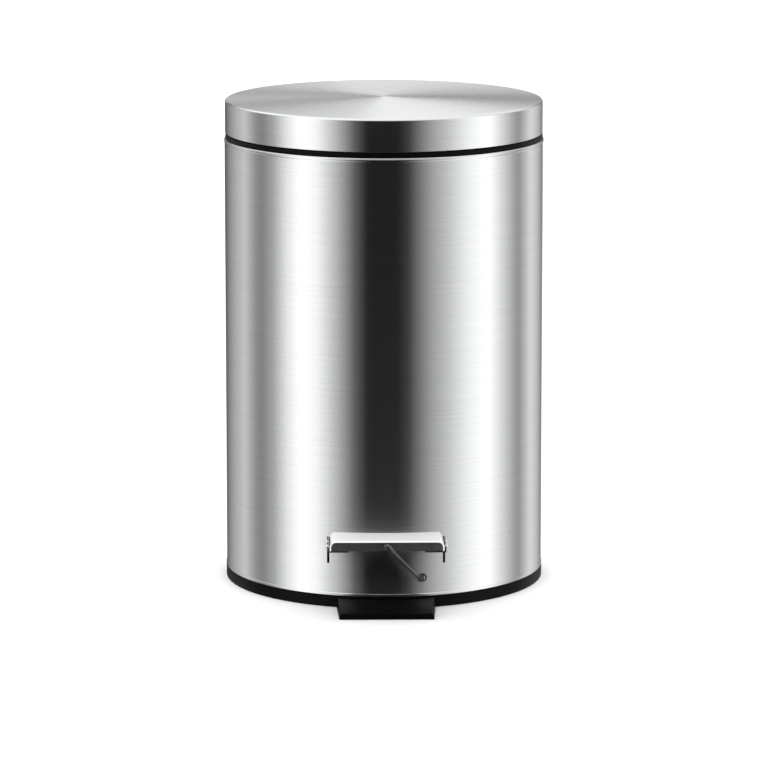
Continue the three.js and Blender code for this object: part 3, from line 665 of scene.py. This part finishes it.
# bail: wire bow lying forward on the rim, with a ribbed grip
def makeBail():
    size = {"radius": 114.5 * mm, "wire": 1.6 * mm, "turnIn": 108.6 * mm, "arcSteps": 96,
            "grip": 4.2 * mm, "gripSpan": 0.36, "ribs": 18, "knotsPerRib": 4, "gripEnd": 0.8,
            "gripValley": 0.84}
    low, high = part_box("bail")
    z, radius = (low.z + high.z) / 2, size["radius"]
    turns = [math.pi + math.pi * i / size["arcSteps"] for i in range(size["arcSteps"] + 1)]
    bow = [Vector((radius * math.cos(a), radius * math.sin(a), z)) for a in turns]
    path = [Vector((-size["turnIn"], 0, z))] + bow + [Vector((size["turnIn"], 0, z))]
    showPiece(wireMesh(path, size["wire"], smooth=False), "bail_wire", "bail", ["zinc"], "bail", 60)
    knots = size["ribs"] * size["knotsPerRib"]
    angles = [1.5 * math.pi + size["gripSpan"] * (2 * i / knots - 1) for i in range(knots + 1)]
    line = [Vector((radius * math.cos(a), radius * math.sin(a), z)) for a in angles]
    radii = [1.0 if i % size["knotsPerRib"] else size["gripValley"] for i in range(knots + 1)]
    radii[0] = radii[-1] = size["gripEnd"]
    sleeve = wireMesh(line, size["grip"], radii, smooth=False)
    showPiece(sleeve, "bail_sleeve", "bail_grip", ["black"], "bail", 40)


# brackets and small mouldings keep the shape of their nodes, with every edge eased
def makeBrackets():
    size = {"pressed": 0.3 * mm, "hinge": 0.7 * mm, "guide": 0.6 * mm}
    for node, body, look, width in (("pedal_frame", "pedal", "zinc", "pressed"),
                                    ("lever_bar", "pedal", "zinc", "pressed"),
                                    ("pivot_bracket", "housing", "zinc", "pressed"),
                                    ("lid_bracket", "lid", "zinc", "pressed"),
                                    ("hinge_housing", "housing", "black", "hinge"),
                                    ("rod_guide_lower", "housing", "black", "guide"),
                                    ("rod_guide_upper", "housing", "black", "guide")):
        eased(node, look, body, size[width])


makeBody()
makeBase()
makeCollar()
print("can made")
makeLid()
makeLiner()
print("lid made")
makeTread()
makeSpring()
makeStud()
makeFasteners()
makePins()
makePushRod()
print("pedal and rod made")
makeBucket()
makeBail()
print("bucket made")
makeBrackets()
print("brackets made")


# camera: a long lens from a little above, turned a touch to the can's left
def makeCamera():
    view = {"azimuth": -0.8, "distance": 3.53, "height": 0.826, "pitch": 10.8, "lens": 212.7,
            "sensor": 36, "farthest": 50}
    camera = bpy.data.objects.new("camera", bpy.data.cameras.new("camera"))
    scene.collection.objects.link(camera)
    azimuth = math.radians(view["azimuth"])
    camera.location = (view["distance"] * math.sin(azimuth), -view["distance"] * math.cos(azimuth),
                       view["height"])
    camera.rotation_euler = (math.radians(90 - view["pitch"]), 0, azimuth)
    camera.data.lens = view["lens"]
    camera.data.sensor_width = view["sensor"]
    camera.data.clip_end = view["farthest"]
    scene.camera = camera


# studio: a white room, where steel sees soft cards set round the can at these bearings in degrees
# (0 is in front), a card low down behind it, and a bright ceiling that starts higher in front
def makeStudio():
    cards = {-180: 0.06, -161: 0.10, -131: 0.42, -121: 0.52, -106: 0.24, -99: 0.20, -87: 0.36, -75: 0.76,
             -63: 1.05, -50: 0.90, -40: 0.58, -31: 0.32, -22: 0.09, -13: 0.0, -4: 0.0, 3: 0.0, 9: 0.0,
             17: 0.03, 26: 0.17, 35: 0.34, 45: 0.50, 54: 0.69, 64: 0.88, 80: 1.05, 92: 0.70, 106: 0.36,
             113: 0.26, 131: 0.63, 143: 0.47, 162: 0.13, 180: 1.0}
    level = {"cards": 1.62, "room": 1.5, "leftCeiling": 1.6, "rightCeiling": 1.25, "ceilingTurn": 0.5,
             "frontStart": 0.5, "backStart": 0.25, "climb": 0.3, "leftBehind": 0.65, "rightBehind": 0.25,
             "behindTurn": 0.08, "behindFull": -0.99, "behindEnd": -0.93, "behindRise": 0.06}
    world = bpy.data.worlds.new("studio")
    scene.world = world
    world.use_nodes = True
    tree = world.node_tree
    direction = addNode(tree, "ShaderNodeTexCoord", {}).outputs["Generated"]
    right, back, up = addNode(tree, "ShaderNodeSeparateXYZ", {"Vector": direction}).outputs
    forward = addNode(tree, "ShaderNodeMath", {"operation": "MULTIPLY", 0: back, 1: -1.0}).outputs[0]

    # the ring of cards
    turn = addNode(tree, "ShaderNodeMath", {"operation": "ARCTAN2", 0: right, 1: forward}).outputs[0]
    bearing = addNode(tree, "ShaderNodeMapRange", {
        "Value": turn, "From Min": -math.pi, "From Max": math.pi, "To Min": 0, "To Max": 1}).outputs[0]
    ramp = addNode(tree, "ShaderNodeValToRGB", {"Fac": bearing})
    stops = ramp.color_ramp.elements                     # starts with a stop at each end
    for angle in list(cards)[1:-1]:
        stops.new((angle + 180) / 360)
    for stop, light in zip(stops, cards.values()):
        stop.color = (light, light, light, 1)
    around = addNode(tree, "ShaderNodeMath", {
        "operation": "MULTIPLY", 0: ramp.outputs[0], 1: level["cards"]}).outputs[0]

    # the card low down behind
    atBack = addNode(tree, "ShaderNodeMapRange", {
        "Value": forward, "From Min": level["behindFull"], "From Max": level["behindEnd"],
        "To Min": 1, "To Max": 0}).outputs[0]
    rise = addNode(tree, "ShaderNodeMapRange", {
        "Value": up, "From Min": 0, "From Max": level["behindRise"], "To Min": 0, "To Max": 1}).outputs[0]
    behind = addNode(tree, "ShaderNodeMath", {"operation": "MULTIPLY", 0: atBack, 1: rise}).outputs[0]
    behindLight = addNode(tree, "ShaderNodeMapRange", {
        "Value": right, "From Min": -level["behindTurn"], "From Max": level["behindTurn"],
        "To Min": level["leftBehind"], "To Max": level["rightBehind"]}).outputs[0]
    lowCards = addNode(tree, "ShaderNodeMix", {0: behind, 2: around, 3: behindLight}).outputs[0]

    # the ceiling above them
    ceiling = addNode(tree, "ShaderNodeMapRange", {
        "Value": right, "From Min": -level["ceilingTurn"], "From Max": level["ceilingTurn"],
        "To Min": level["leftCeiling"], "To Max": level["rightCeiling"]}).outputs[0]
    start = addNode(tree, "ShaderNodeMapRange", {
        "Value": forward, "From Min": -1, "From Max": 1,
        "To Min": level["backStart"], "To Max": level["frontStart"]}).outputs[0]
    above = addNode(tree, "ShaderNodeMath", {"operation": "SUBTRACT", 0: up, 1: start}).outputs[0]
    share = addNode(tree, "ShaderNodeMapRange", {
        "Value": above, "From Min": 0, "From Max": level["climb"], "To Min": 0, "To Max": 1}).outputs[0]
    steelSees = addNode(tree, "ShaderNodeMix", {0: share, 2: lowCards, 3: ceiling}).outputs[0]

    glossy = addNode(tree, "ShaderNodeLightPath", {}).outputs["Is Glossy Ray"]
    strength = addNode(tree, "ShaderNodeMix", {0: glossy, 2: level["room"], 3: steelSees}).outputs[0]
    tree.links.new(strength, tree.nodes["Background"].inputs["Strength"])
    tree.nodes["Background"].inputs["Color"].default_value = (1, 1, 1, 1)


def makeFloor():
    size = {"radius": 9, "steps": 96, "below": 0.1 * mm}
    bm = bmesh.new()
    bmesh.ops.create_circle(bm, cap_ends=True, segments=size["steps"], radius=size["radius"])
    bmesh.ops.translate(bm, vec=(0, 0, -size["below"]), verts=bm.verts)
    material = newMaterial("paleFloor", {"Roughness": 0.9, "Base Color": linearColour("#f7f7f7")})[0]
    floor = bpy.data.objects.new("floor", toMesh(bm))
    floor.data.materials.append(material)
    scene.collection.objects.link(floor)
    floor.visible_glossy = False                # the steel mirrors the cards down to the floor line


makeCamera()
makeStudio()
makeFloor()
scene.view_settings.view_transform = "Standard"
print("studio made")
